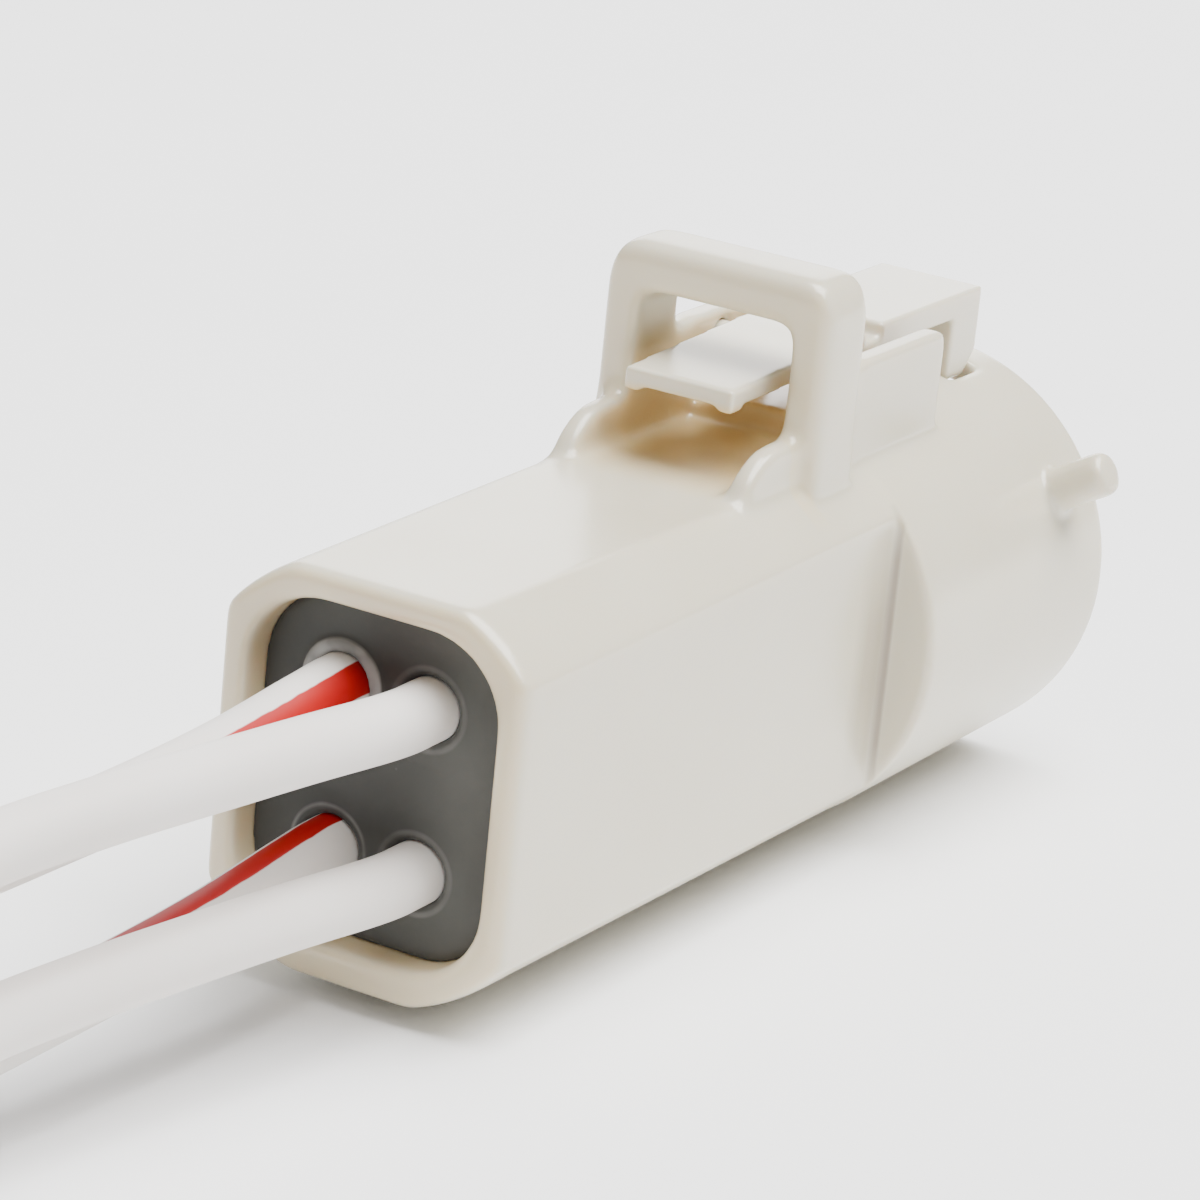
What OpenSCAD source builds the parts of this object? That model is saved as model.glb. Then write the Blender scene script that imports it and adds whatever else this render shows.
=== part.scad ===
// Sealed four-way automotive connector with its leads.
// Row frame: the origin is the centre of the skirt's mouth, +Y points out of the mouth towards the
// mating half, -Y is where the leads leave, and +Z is the side that carries the latch.

/* [Housing] */
// Length of the flat-sided rear body
body_l = 32.1; // [30:0.1:36]
// Width across the two side flats
body_w = 15; // [14.4:0.1:15.6]
// Height across the top and bottom flats
body_h = 17.9; // [17.4:0.1:18.3]
// How much narrower the body's drum is at the rear face than the skirt
rear_draft = 0.7; // [0.3:0.1:1]
// How far the body's flats sit below the skirt's axis
body_drop = 0.25; // [0:0.05:0.4]
// Rounding of the rear rim
rim_round = 0.5; // [0.3:0.1:1]
// Wall beside the wire seal, at the side flats
side_wall = 1.35; // [1.2:0.05:1.5]
// Wall above the wire seal
top_wall = 1.3; // [1.2:0.05:1.5]
// Corner radius of the pocket for the wire seal
pocket_round = 3.5; // [2.8:0.1:3.8]
// Depth of the pocket for the wire seal
pocket_l = 10.2; // [9.5:0.1:12]

/* [Skirt] */
// Length of the round skirt
skirt_l = 18.5; // [18:0.1:21]
// Wall of the skirt
skirt_wall = 1.3; // [1.2:0.05:1.6]
// Room between the tower and the skirt, for the mating half's shroud
shroud_room = 1.75; // [1.6:0.05:1.9]
// Thickness of the wall behind the bore
skirt_floor = 1.5; // [1.2:0.1:2]
// Rounding of the skirt's front edge
skirt_round = 0.6; // [0.3:0.1:0.8]

/* [Tower] */
// Distance from the skirt's mouth back to the tower's face
tower_setback = 5; // [5:0.1:6]
// Diameter of the tower
tower_d = 14; // [13.9:0.1:14.3]
// Width across the tower's side flats
tower_w = 10.6; // [10.3:0.1:11.5]
// Height across the tower's top and bottom flats
tower_h = 13; // [12.7:0.1:13.4]

/* [Terminals] */
// Distance between the two columns
pitch_x = 4.3; // [4.25:0.05:4.6]
// Distance between the two rows
pitch_z = 7.25; // [7.2:0.05:7.4]
// Bore of a terminal cavity
cavity_d = 3.7; // [3.6:0.05:3.75]
// Bore of the stop in front of a terminal
stop_d = 2.7; // [2.5:0.1:2.9]
// Length of a terminal
terminal_l = 28.5; // [27.5:0.5:29.5]
// Outside diameter of a terminal's socket
socket_d = 3.1; // [2.9:0.05:3.3]
// Bore for the mating pin
pin_bore_d = 1.5; // [1.3:0.05:1.6]
// Depth of the bore for the mating pin
pin_bore_l = 9; // [8:0.5:9.5]

/* [Leads] */
// Outside diameter of a lead's insulation
wire_d = 2.8; // [2.6:0.05:2.85]
// Diameter of a lead's stranded core
core_d = 1.3; // [1.1:0.05:1.5]
// Length of the stripped end of a lead
strip_l = 5; // [4:0.5:6]

/* [Seals] */
// Distance from the rear rim in to the wire seal
seal_recess = 1.5; // [0.8:0.1:1.8]
// Thickness of the wire seal
seal_l = 8; // [6.5:0.1:8.2]
// Depth of the grooves round each seal
rib_depth = 0.45; // [0.3:0.05:0.6]
// Height of the collar round each lead
collar_h = 0.3; // [0.2:0.05:0.5]
// Outside diameter of each collar
collar_d = 3.9; // [3.6:0.05:4.2]
// Length of the ring seal on the tower
ring_l = 4; // [3:0.1:5]
// Thickness of the ring seal at its ribs
ring_t = 1.15; // [0.9:0.05:1.3]
// Gap between the ring seal and the tower
ring_gap = 0.05; // [0.03:0.01:0.08]

/* [Guard] */
// Distance from the rear face to the arch
arch_from_rear = 26.3; // [26:0.1:27]
// Depth of the arch along the connector
arch_l = 4.1; // [3.6:0.1:4.2]
// Width across the arch's legs
arch_w = 11.9; // [11.6:0.1:12.2]
// Thickness of each leg
leg_t = 2.05; // [1.7:0.05:2.2]
// Height of the arch above the axis
arch_h = 18; // [17.6:0.1:18.6]
// Thickness of the arch's top bar
bar_t = 2.3; // [2:0.1:2.5]
// Outer corner radius of the arch
arch_round = 3; // [2:0.1:3.4]
// Length of the cheeks behind the arch
cheek_l = 5.2; // [4:0.1:5.5]
// Height of the cheeks above the axis
cheek_h = 10.8; // [10.2:0.1:11]
// Thickness of the cheeks
cheek_t = 1.2; // [0.8:0.1:1.4]
// Thickness of the guard walls
guard_t = 1.25; // [1.1:0.05:1.4]
// How far the guard walls stand in from the outsides of the legs
guard_inset = 0.75; // [0.5:0.05:0.9]
// Length of the guard walls in front of the arch
guard_l = 9.4; // [9:0.1:9.8]
// Height of the guard walls above the axis
guard_h = 13.45; // [13.3:0.05:13.8]
// Rounding of the guard walls' upper front corners
guard_round = 0.6; // [0.4:0.1:1]

/* [Latch] */
// Distance from the rear face to the thumb pad's edge
pad_from_rear = 23.7; // [23.2:0.1:24.2]
// Width of the latch lever
lever_w = 5.6; // [5.2:0.1:6.2]
// Distance from the skirt's mouth back to the hook's front
hook_setback = 2.5; // [2.2:0.1:3]
// Height of the lever's head above the axis
lever_h = 13.6; // [13.5:0.05:13.9]
// Thickness of the lever's head
head_t = 1.25; // [1.1:0.05:1.4]
// Thickness of the thumb pad
pad_t = 0.85; // [0.7:0.05:1]
// How far the thumb pad's rear edge lies below the head
pad_fall = 0.6; // [0.4:0.05:1]
// Length of the thumb pad, up to the lever's thicker part
pad_l = 10; // [9:0.5:11]
// Length of the hook along the connector
hook_l = 2.8; // [2.4:0.1:3]
// How far the hook's tooth reaches in through the skirt
tooth_reach = 0.75; // [0.5:0.05:0.9]
// Distance from the rear face to the pivot
pivot_from_rear = 34.8; // [34.4:0.1:35.4]
// Diameter of the pivot web
pivot_d = 1.5; // [1.3:0.05:1.6]
// Radial clearance of the pivot web in its walls
pivot_gap = 0.04; // [0.02:0.01:0.08]
// Gap round the hook in the skirt's window
window_gap = 0.2; // [0.15:0.05:0.3]

/* [Keying peg] */
// Diameter of the peg
peg_d = 2.2; // [2:0.05:2.5]
// Distance from the axis to the peg's end
peg_reach = 13.15; // [12.6:0.05:13.5]
// Distance from the skirt's mouth back to the peg
peg_back = 4.1; // [3.8:0.1:5]
// Angle of the peg above the horizontal
peg_angle = 30; // [25:1:35]

/* [Front lock] */
// Thickness of the lock's plate
lock_t = 1.6; // [1.4:0.1:1.8]
// Length of the lock's tongue
tongue_l = 6.4; // [5:0.2:8]
// Thickness of the lock's tongue
tongue_t = 2.3; // [2:0.1:2.4]
// Width of the lock's tongue
tongue_w = 6.8; // [6:0.1:7.4]
// Gap round the tongue and the terminals' sockets
fit_gap = 0.1; // [0.05:0.01:0.15]

/* [Tie] */
// Width of the tie's strap
tie_w = 2.6; // [2:0.1:3.5]
// Thickness of the tie's strap
tie_t = 0.6; // [0.4:0.05:0.8]

/* [Hidden] */
$fn = 64;
EPS = 0.01;

// Stations along the connector
y_rear = -(body_l + skirt_l);
y_skirt = -skirt_l;
y_bore = y_skirt + skirt_floor;
y_face = -tower_setback;
y_lock = y_face - lock_t;
y_arch = y_rear + arch_from_rear;
y_guard = y_arch + arch_l;
y_pad = y_rear + pad_from_rear;
y_hook = -hook_setback;
y_pivot = y_rear + pivot_from_rear;
y_seal = y_rear + seal_recess;
y_stop = y_lock - 2;

// Heights and widths that pieces share
bore_r = tower_d / 2 + shroud_room;
skirt_r = bore_r + skirt_wall;
rear_r = skirt_r - rear_draft / 2;
top_z = body_h / 2 - body_drop;
window_z = arch_h - bar_t;
inner_x = arch_w / 2 - leg_t;
guard_x = arch_w / 2 - guard_inset - guard_t;
pivot_seat = guard_t - 0.45;
root_z = top_z - 1.6;
pivot_z = lever_h - head_t - 0.3;
hook_slope = 1.1;
window_x = lever_w / 2 + window_gap;
window_y = [y_hook - hook_l - window_gap, y_hook - (hook_slope - tooth_reach) + window_gap];
tooth_z = skirt_r - tooth_reach;
// The walls, their cavities and where each lead goes: upper right, lower right, upper left, lower left
SIDES = [[1, 1], [1, -1], [-1, 1], [-1, -1]];
function seat(n) = [SIDES[n][0] * pitch_x / 2, SIDES[n][1] * pitch_z / 2];

// Terminal stations, from its front
term_front = y_stop - fit_gap;
term_rear = term_front - terminal_l;
grip_l = 4;
core_in = 5;
wire_start = term_rear + grip_l;

// Where the leads lie beyond the seal
rest_z = -skirt_r;
lane = 2.9;
hank_start = -108.6;
waist_l = 26;
tie_y = hank_start - waist_l / 2;
loop_r = 8.6;
flare_r = 12;

// Route of each lead behind the wire seal, ending at the hank
ROUTES = [
    [[2.15, -52, 3.65], [1.6, -57.5, 3.9], [0.9, -63, 4], [0, -69, 4], [-0.9, -75, 3.75],
     [-1.4, -81, 2.9], [-1.45, -88, 0.5], [-1.45, -95, -2.9], [-1.45, -101.5, -5.1], [-1.45, -108.6, -5.8]],
    [[2.15, -52, -3.55], [1.6, -57.5, -3.25], [0.9, -63, -3.15], [0, -69, -3.2], [-0.9, -75, -3.5],
     [-1.4, -81, -4.3], [-1.45, -88, -6.1], [-1.45, -95, -7.7], [-1.45, -101.5, -8.5], [-1.45, -108.6, -8.65]],
    [[-2.2, -52, 3.35], [-2.4, -57.5, 2.65], [-2.8, -63, 2.15], [-3.4, -69, 1.75], [-4, -75, 1.35],
     [-4.3, -81, 0.55], [-4.35, -88, -1.35], [-4.35, -95, -3.8], [-4.35, -101.5, -5.4], [-4.35, -108.6, -5.8]],
    [[-2.2, -52, -3.9], [-2.4, -57.5, -4.7], [-2.8, -63, -5.35], [-3.3, -69, -5.9], [-3.9, -75, -6.5],
     [-4.3, -81, -7.1], [-4.35, -88, -7.85], [-4.35, -95, -8.4], [-4.35, -101.5, -8.6], [-4.35, -108.6, -8.65]]
];

// Colours
SHELL = [0.87, 0.86, 0.81];
SILICONE = [0.37, 0.38, 0.37];
METAL = [0.78, 0.76, 0.72];
COPPER = [0.80, 0.48, 0.32];
JACKET = [0.90, 0.90, 0.89];

// ---- shapes that repeat ----

// A flat outline in X and Z, carried along Y from y0 to y1
module along(y0, y1) translate([0, y1, 0]) rotate([90, 0, 0]) linear_extrude(y1 - y0) children();

// A drum or cone about the Y axis, with radius r0 at y0 and r1 at y1
module drum(y0, y1, r0, r1) translate([0, y1, 0]) rotate([90, 0, 0]) cylinder(h = y1 - y0, r1 = r1, r2 = r0);

// A round bar about the line through [x, z], along Y
module rod(y0, y1, r, at) translate([at[0], 0, at[1]]) drum(y0, y1, r, r);

// A block between two corners
module block(a, b) translate(a) cube(b - a);

// A circle with four flats, the section of the body, the seals and the tower
module flatted(d, w, h) intersection() {
    circle(d = d);
    square([w, h], center = true);
}

// A rectangle with its corners rounded by circles, from corner a to corner b
module rounded_rect(a, b, r) {
    translate([a[0] + r, a[1]]) square([b[0] - a[0] - 2 * r, b[1] - a[1]]);
    translate([a[0], a[1] + r]) square([b[0] - a[0], b[1] - a[1] - 2 * r]);
    for (x = [a[0] + r, b[0] - r], z = [a[1] + r, b[1] - r]) translate([x, z]) circle(r);
}

// A side profile in Y and Z, carried across X from x0 to x1
module across(x0, x1) translate([x0, 0, 0]) rotate([90, 0, 90]) linear_extrude(x1 - x0) children();

// A tube swept along points, with sides flats; each ring stands square to the route
SWEEP_SIDES = 8;
function unit(v) = v / norm(v);
function heading(p, i) = unit(p[min(i + 1, len(p) - 1)] - p[max(i - 1, 0)]);
function ring_at(p, i, r) = let (t = heading(p, i), u = unit(cross([0, 0, 1], t)), v = cross(t, u))
    [for (k = [0:SWEEP_SIDES - 1]) let (a = 360 * (k + 0.5) / SWEEP_SIDES) p[i] + r * (cos(a) * u + sin(a) * v)];
module sweep(p, r) {
    n = len(p);
    s = SWEEP_SIDES;
    polyhedron(
        points = [for (i = [0:n - 1]) each ring_at(p, i, r)],
        faces = concat(
            [[for (k = [0:s - 1]) k]],
            [for (i = [0:n - 2], k = [0:s - 1])
                [i * s + k, (i + 1) * s + k, (i + 1) * s + (k + 1) % s, i * s + (k + 1) % s]],
            [[for (k = [s - 1:-1:0]) (n - 1) * s + k]]));
}

// ---- the moulded housing ----

// A side or top view of the rear body: a plate whose rear corners are rounded like the rim
module rim_plate(lo, hi) {
    translate([y_rear + rim_round, lo]) square([body_l - rim_round + 0.5, hi - lo]);
    translate([y_rear, lo + rim_round]) square([rim_round + 1, hi - lo - 2 * rim_round]);
    for (at = [lo + rim_round, hi - rim_round]) translate([y_rear + rim_round, at]) circle(rim_round);
}

// The drafted drum, its two pairs of flats and a rounded rear rim, as three views crossed
module rear_body() intersection() {
    rotate([-90, 0, 0]) rotate_extrude($fn = 96) translate([0, y_rear]) {
        polygon([[0, 0], [rear_r - rim_round, 0], [rear_r - rim_round, rim_round],
            [rear_r, rim_round], [skirt_r - 0.06, body_l + 0.5], [0, body_l + 0.5]]);
        translate([rear_r - rim_round, rim_round]) circle(rim_round);
    }
    across(-20, 20) rim_plate(-body_h / 2 - body_drop, top_z);
    translate([0, 0, -20]) linear_extrude(40) rotate(90) mirror([0, 1]) rim_plate(-body_w / 2, body_w / 2);
}

// The skirt as a solid of revolution, with its front edge rounded
module skirt_solid() rotate([-90, 0, 0]) rotate_extrude($fn = 96) {
    translate([0, -skirt_l]) square([skirt_r, skirt_l - skirt_round]);
    translate([0, -skirt_l]) square([skirt_r - skirt_round, skirt_l]);
    translate([skirt_r - skirt_round, -skirt_round]) circle(skirt_round, $fn = 32);
}

// The pocket for the wire seal, drawn in by gap all round
module seal_pocket_outline(gap) {
    x = body_w / 2 - side_wall - gap;
    z = top_z - top_wall - gap;
    rounded_rect([-x, -z], [x, z], pocket_round - gap);
}

module tower_outline(grow) flatted(tower_d + 2 * grow, tower_w + 2 * grow, tower_h + 2 * grow);

// The arch, its front view crossed with a rounded side view and a rounded top view
module arch() difference() {
    soft = 0.7;
    intersection() {
        along(y_arch - 1, y_guard + 1) union() {
            rounded_rect([-arch_w / 2, window_z - arch_round], [arch_w / 2, arch_h], arch_round);
            translate([-arch_w / 2, root_z]) square([arch_w, window_z - root_z]);
        }
        across(-20, 20) rounded_rect([y_arch, root_z - 2], [y_guard, arch_h], soft);
        translate([0, 0, root_z - 2]) linear_extrude(20)
            rounded_rect([-arch_w / 2, y_arch], [arch_w / 2, y_guard], soft);
    }
    along(y_arch - 2, y_guard + 2) rounded_rect([-inner_x, root_z - 1], [inner_x, window_z], 0.4);
}

module cheek(side) across(side > 0 ? inner_x : -inner_x - cheek_t, side > 0 ? inner_x + cheek_t : -inner_x) {
    cheek_r = cheek_h - root_z;
    translate([y_arch - cheek_l + cheek_r, root_z]) intersection() {
        circle(cheek_r);
        translate([-cheek_r, 0]) square(2 * cheek_r);
    }
    translate([y_arch - cheek_l + cheek_r, root_z]) square([cheek_l - cheek_r + EPS, cheek_r]);
}

module guard_wall(side) {
    r = guard_round;
    x0 = side > 0 ? guard_x : -guard_x - guard_t;
    across(x0, x0 + guard_t) {
        translate([y_guard - EPS, root_z - 1]) square([guard_l + EPS, guard_h - r - root_z + 1]);
        translate([y_guard - EPS, root_z]) square([guard_l - r, guard_h - root_z]);
        translate([y_guard + guard_l - r, guard_h - r]) circle(r);
    }
}

module peg() rotate([0, -peg_angle, 0]) rotate([0, 90, 0]) rotate_extrude($fn = 48) {
    r = peg_d / 2;
    soft = 0.35;
    square([r, peg_reach - soft]);
    square([r - soft, peg_reach]);
    translate([r - soft, peg_reach - soft]) circle(soft, $fn = 32);
}

module cavity(n) {
    rod(y_rear + pocket_l - EPS, y_stop, cavity_d / 2, seat(n));
    rod(y_stop - EPS, y_face + EPS, stop_d / 2, seat(n));
}

module housing() color(SHELL) difference() {
    union() {
        difference() {
            union() {
                rear_body();
                skirt_solid();
                translate([0, -peg_back, 0]) peg();
                arch();
                for (side = [-1, 1]) {
                    cheek(side);
                    guard_wall(side);
                }
            }
            drum(y_bore, 1, bore_r, bore_r);
            block([-window_x, window_y[0], bore_r - 2], [window_x, window_y[1], skirt_r + 1]);
        }
        along(y_bore - EPS, y_lock) tower_outline(0);
    }
    along(y_rear - 1, y_rear + pocket_l) seal_pocket_outline(0);
    for (n = [0:3]) cavity(n);
    along(y_lock - tongue_l - fit_gap, y_lock + 1)
        square([tongue_w + 2 * fit_gap, tongue_t + 2 * fit_gap], center = true);
    translate([0, y_pivot, pivot_z]) rotate([0, 90, 0])
        cylinder(h = 2 * (guard_x + pivot_seat), r = pivot_d / 2 + pivot_gap, center = true);
}

// ---- the latch ----

module latch_lever() color(SHELL) {
    half = lever_w / 2;
    foot = 0.8;
    under = lever_h - head_t;
    pad_top = lever_h - pad_fall;
    y_head = y_hook - 10.4;
    across(-half, half) polygon([
        [y_pad, pad_top - pad_t], [y_pad, pad_top], [y_pad + pad_l, lever_h - 0.15],
        [y_head - 1.4, lever_h - 0.15], [y_head - 1.4, lever_h - 0.65], [y_head, lever_h - 0.65],
        [y_head, lever_h], [y_hook, lever_h], [y_hook, tooth_z + hook_slope], [y_hook - hook_slope, tooth_z],
        [y_hook - hook_l, tooth_z], [y_hook - hook_l, under], [y_pad + pad_l, under]]);
    for (side = [-1, 1]) across(side * half - (side > 0 ? foot : 0), side * half + (side > 0 ? 0 : foot))
        translate([y_pad, pad_top - pad_t - 0.25]) square([1.1, pad_t]);
    translate([0, y_pivot, pivot_z]) rotate([0, 90, 0])
        cylinder(h = 2 * (guard_x + pivot_seat) - 0.2, r = pivot_d / 2, center = true);
}

// ---- the seals ----

module rear_seal() color(SILICONE) difference() {
    rib = seal_l / 5;
    union() {
        for (k = [0, 2, 4]) along(y_seal + k * rib, y_seal + (k + 1) * rib) seal_pocket_outline(0);
        along(y_seal + EPS, y_seal + seal_l - EPS) seal_pocket_outline(rib_depth);
        for (n = [0:3]) rod(y_seal - collar_h, y_seal + EPS, collar_d / 2, seat(n));
    }
    for (n = [0:3]) rod(y_seal - 1, y_seal + seal_l + 1, wire_d / 2, seat(n));
}

module interface_seal() color(SILICONE) {
    rib = ring_l / 5;
    y0 = y_bore + 0.5;
    difference() {
        union() {
            for (k = [0, 2, 4]) along(y0 + k * rib, y0 + (k + 1) * rib) tower_outline(ring_t);
            along(y0 + EPS, y0 + ring_l - EPS) tower_outline(ring_t - rib_depth);
        }
        along(y0 - 1, y0 + ring_l + 1) tower_outline(ring_gap);
    }
}

// ---- the lock in front of the terminals ----

module front_lock() color(JACKET) difference() {
    union() {
        along(y_lock, y_face) tower_outline(0);
        along(y_lock - tongue_l, y_lock + EPS)
            square([tongue_w, tongue_t], center = true);
    }
    for (n = [0:3]) translate([seat(n)[0], 0, seat(n)[1]]) {
        drum(y_lock - 1, y_face + 1, stop_d / 2, stop_d / 2);
        drum(y_face - 0.5, y_face + EPS, stop_d / 2, stop_d / 2 + 0.4);
    }
}

// ---- terminals and leads ----

// A crimped socket: pin bore in front, solid neck, a barrel on the strands and a grip on the insulation
module terminal(n) color(METAL) translate([seat(n)[0], term_front, seat(n)[1]]) rotate([90, 0, 0]) rotate_extrude() {
    socket_l = pin_bore_l + 2;
    barrel = terminal_l - grip_l - core_in;
    grip_r = wire_d / 2 + 0.35;
    polygon([[pin_bore_d / 2, 0], [socket_d / 2, 0], [socket_d / 2, socket_l], [0.8, socket_l + 0.8],
        [0.8, barrel - 1], [core_d / 2 + 0.45, barrel], [core_d / 2 + 0.45, terminal_l - grip_l - 0.9],
        [grip_r, terminal_l - grip_l], [grip_r, terminal_l], [wire_d / 2, terminal_l],
        [wire_d / 2, terminal_l - grip_l], [core_d / 2, terminal_l - grip_l],
        [core_d / 2, terminal_l - grip_l - core_in], [0, terminal_l - grip_l - core_in - 0.3],
        [0, pin_bore_l + 0.3], [pin_bore_d / 2, pin_bore_l]]);
}

// The strands of a lead inside its crimp
module conductor(n) color(COPPER) rod(wire_start, wire_start + core_in, core_d / 2, seat(n));

// The insulated lead from its terminal, through the seal and down to the hank
module wire(n) color(JACKET) {
    s = seat(n);
    sweep(concat([[s[0], wire_start, s[1]], [s[0], -42, s[1]], [s[0], -49, s[1]]], ROUTES[n]), wire_d / 2);
}

// Each lead comes back out of the hank beside its own way in
function tail_x(n) = -ROUTES[n][9][0];
function tail_z(n) = ROUTES[n][9][2];
module bare_end(n) color(COPPER) rod(hank_start, hank_start + strip_l, core_d / 2, [tail_x(n), tail_z(n)]);

module hank_outline() {
    edge = 1.5 * lane + wire_d / 2;
    outer_r = loop_r + lane + wire_d / 2;
    flare = flare_r - lane - wire_d / 2;
    reach = sqrt(pow(outer_r + flare, 2) - pow(edge + flare, 2));
    y_waist = hank_start - waist_l;
    translate([-edge, y_waist - 1]) square([2 * edge, waist_l + 1]);
    translate([0, y_waist - reach]) circle(outer_r);
    difference() {
        touch = [outer_r * (edge + flare) / (outer_r + flare), y_waist - reach + outer_r * reach / (outer_r + flare)];
        polygon([[-edge, y_waist], [-touch[0], touch[1]], [-touch[0], y_waist - reach],
            [touch[0], y_waist - reach], touch, [edge, y_waist]]);
        for (side = [-1, 1]) translate([side * (edge + flare), y_waist]) circle(flare);
    }
}

// The put-away length of the four leads, folded once: two layers, two runs and a round end loop
module lead_hank() color(JACKET) difference() {
    translate([0, 0, rest_z]) linear_extrude(2 * wire_d + tie_t + 0.05) hank_outline();
    block([-20, tie_y - tie_w / 2, rest_z - 1], [20, tie_y + tie_w / 2, rest_z + tie_t]);
}

// A cable tie round the hank's waist, with its head on top
module hank_tie() color(JACKET) {
    edge = 1.5 * lane + wire_d / 2;
    y0 = tie_y - tie_w / 2;
    z1 = rest_z + 2 * wire_d + tie_t + 0.05;
    along(y0, y0 + tie_w) difference() {
        translate([-edge - tie_t, rest_z]) square([2 * edge + 2 * tie_t, z1 - rest_z + tie_t]);
        translate([-edge, rest_z + tie_t]) square([2 * edge, z1 - rest_z - tie_t]);
    }
    block([-1.9, y0 - 0.5, z1 + tie_t - EPS], [1.9, y0 + tie_w + 0.5, z1 + tie_t + 1.8]);
}

housing();
latch_lever();
rear_seal();
interface_seal();
front_lock();
for (n = [0:3]) {
    terminal(n);
    conductor(n);
    wire(n);
    bare_end(n);
}
lead_hank();
hank_tie();
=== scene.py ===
# %% [markdown]
# # A sealed four-way connector and its leads
#
# The connector is a moulded nylon housing with a grey silicone seal in its rear mouth, a rocking latch
# under a guard arch, and four insulated leads. The solid frame comes first. Every looks piece is worked
# out as arrays of points and then laid over the frame's own measurements, so nothing drifts from it.

# %% Load the frame
import math

import bmesh
import bpy
import numpy as np
from mathutils import Matrix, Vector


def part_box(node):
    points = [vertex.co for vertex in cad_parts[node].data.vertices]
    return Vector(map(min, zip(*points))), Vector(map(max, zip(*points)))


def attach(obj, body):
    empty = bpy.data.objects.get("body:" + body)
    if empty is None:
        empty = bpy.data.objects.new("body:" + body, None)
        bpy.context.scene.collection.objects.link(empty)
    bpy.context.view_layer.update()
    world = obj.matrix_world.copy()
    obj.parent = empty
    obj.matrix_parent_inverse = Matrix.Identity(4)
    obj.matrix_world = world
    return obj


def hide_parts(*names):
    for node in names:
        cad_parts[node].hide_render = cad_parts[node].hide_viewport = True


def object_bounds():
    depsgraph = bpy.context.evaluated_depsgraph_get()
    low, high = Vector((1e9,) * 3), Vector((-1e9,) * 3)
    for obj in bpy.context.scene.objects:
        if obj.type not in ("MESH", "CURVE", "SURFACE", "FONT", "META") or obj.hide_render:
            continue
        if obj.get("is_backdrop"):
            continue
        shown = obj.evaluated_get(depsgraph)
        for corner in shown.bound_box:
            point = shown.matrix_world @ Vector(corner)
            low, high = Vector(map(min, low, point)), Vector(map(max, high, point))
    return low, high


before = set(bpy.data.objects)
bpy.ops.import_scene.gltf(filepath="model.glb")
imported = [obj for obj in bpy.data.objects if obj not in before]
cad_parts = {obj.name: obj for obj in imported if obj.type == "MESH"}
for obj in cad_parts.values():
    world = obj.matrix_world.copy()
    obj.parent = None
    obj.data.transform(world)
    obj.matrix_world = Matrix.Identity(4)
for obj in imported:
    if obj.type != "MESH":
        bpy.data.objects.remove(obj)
cad_lo, cad_hi = (np.array(corner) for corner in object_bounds())
MM = 0.001
CONNECTOR, LATCH = "connector", "latch"
print("frame box in mm:", np.round(cad_lo / MM, 2), np.round(cad_hi / MM, 2))

# %% [markdown]
# ## Camera
#
# A long lens some 20 cm away flattens the perspective a little. The camera is placed by the direction it
# looks from, a distance and a small roll, which is easier to read and to change than a matrix of
# rotations.

# %% Camera
AZIMUTH, ELEVATION, ROLL = (math.radians(d) for d in (29.3, 18.29, -5.77))
TARGET = np.array([10.44, -50.6, 10.85]) * MM
DISTANCE = 195.43 * MM
LENS_MM, SENSOR_MM = 148.0, 36.0
NEAREST, FARTHEST = 0.01, 20.0


def stand(thing, x, y, z, at):
    """Puts a camera or light at a point, with its own three directions along x, y and z."""
    turned = np.eye(4)
    turned[:3, 0], turned[:3, 1], turned[:3, 2], turned[:3, 3] = x, y, z, at
    thing.matrix_world = Matrix(turned.tolist())


back = np.array([math.sin(AZIMUTH) * math.cos(ELEVATION), -math.cos(AZIMUTH) * math.cos(ELEVATION),
                 math.sin(ELEVATION)])
level = np.array([math.cos(AZIMUTH), math.sin(AZIMUTH), 0.0])
upright = np.cross(back, level)
right = math.cos(ROLL) * level - math.sin(ROLL) * upright
up = math.sin(ROLL) * level + math.cos(ROLL) * upright

lens = bpy.data.cameras.new("camera")
lens.lens, lens.sensor_width = LENS_MM, SENSOR_MM
lens.clip_start, lens.clip_end = NEAREST, FARTHEST
camera = bpy.data.objects.new("camera", lens)
bpy.context.collection.objects.link(camera)
stand(camera, right, up, back, TARGET + DISTANCE * back)
bpy.context.scene.camera = camera
print("camera at (mm):", np.round((TARGET + DISTANCE * back) / MM, 1))

# %% [markdown]
# ## From arrays to meshes
#
# The leads and their strands are grids: rows of points along the piece, columns round it. One helper joins
# neighbouring points with four-sided faces, so each piece only has to say where its points are and to
# close its ends.

# %% Mesh helpers


def mesh_object(name, points, faces, body=CONNECTOR):
    """A mesh from an array of points and a list of faces, riding on a body, with smooth faces."""
    mesh = bpy.data.meshes.new(name)
    mesh.from_pydata([tuple(p) for p in np.asarray(points, float)], [], [tuple(f) for f in faces])
    mesh.update()
    mesh.shade_smooth()
    piece = bpy.data.objects.new(name, mesh)
    bpy.context.collection.objects.link(piece)
    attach(piece, body)
    return piece


def grid_faces(rows, columns, first=0):
    """Four-sided faces between neighbouring rows and columns; the last column joins the first."""
    r, c = np.meshgrid(np.arange(rows - 1), np.arange(columns), indexing="ij")
    n = (c + 1) % columns
    faces = np.stack([r * columns + c, r * columns + n, (r + 1) * columns + n, (r + 1) * columns + c], -1)
    return (faces.reshape(-1, 4) + first).tolist()


def unit(v):
    """Vectors scaled to length one."""
    return v / np.maximum(np.linalg.norm(v, axis=-1, keepdims=True), 1e-12)


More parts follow.
